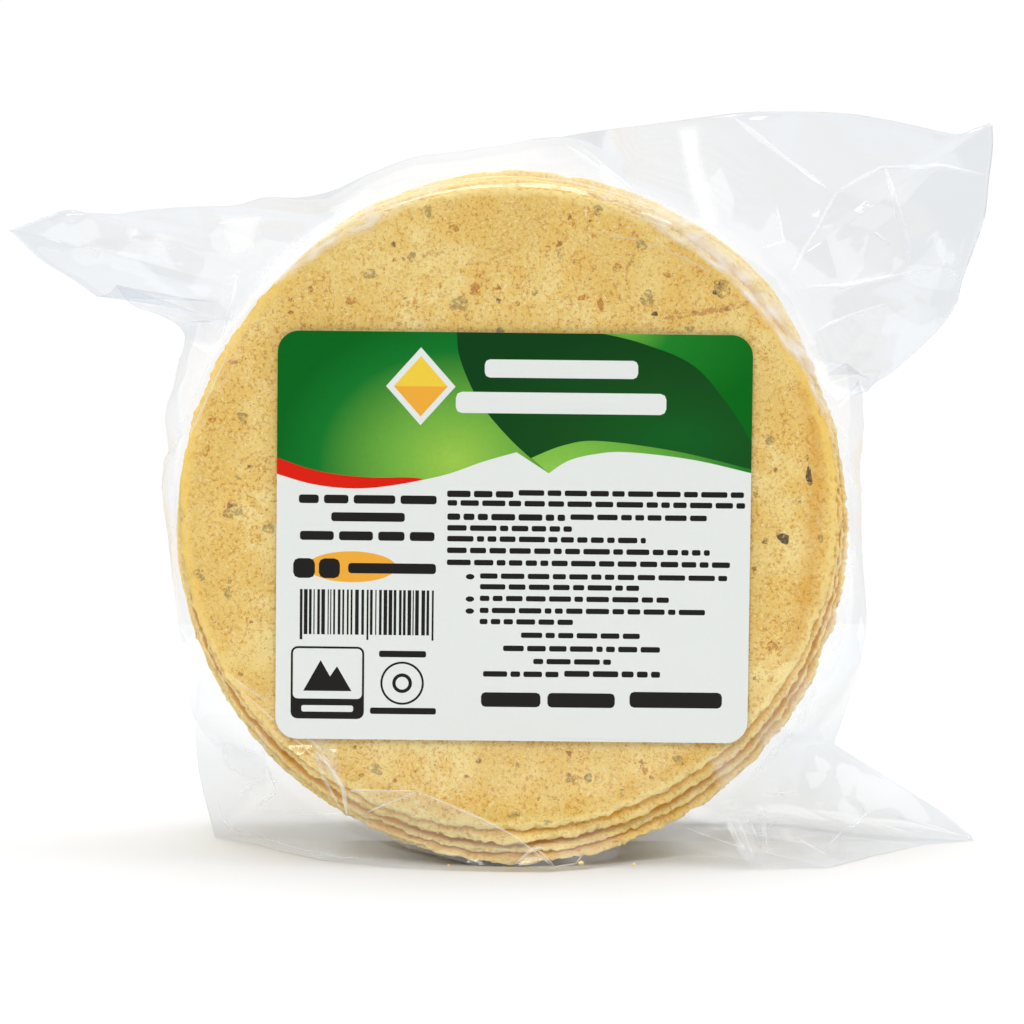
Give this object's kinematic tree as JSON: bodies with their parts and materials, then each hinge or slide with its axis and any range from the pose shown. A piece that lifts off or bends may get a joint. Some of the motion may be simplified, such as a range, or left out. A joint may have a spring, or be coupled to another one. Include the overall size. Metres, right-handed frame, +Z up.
{
  "type": "bagged corn tortilla stack",
  "caption": "Stack of round corn tortillas sealed in a clear bag with loose corner flaps and a plain printed label, standing on its rim.",
  "frame": {"origin": "bottom centre of the bag's box, at the surface it stands on", "axes": "+Z up, +X to the right along the label's long side, labelled front facing -Y"},
  "size_m": [0.2321, 0.0716, 0.174],
  "materials": {
    "tortilla_and_film": "baked corn dough, pale yellow with brown and dark flecks, under thin clear glossy film",
    "label_paper": "satin white label paper with a green and red printed header",
    "clear_film": "thin clear glossy film with sharp creases"
  },
  "bodies": {
    "root": {"bag": "tortilla_and_film", "label": "label_paper"}
  },
  "joints": []
}
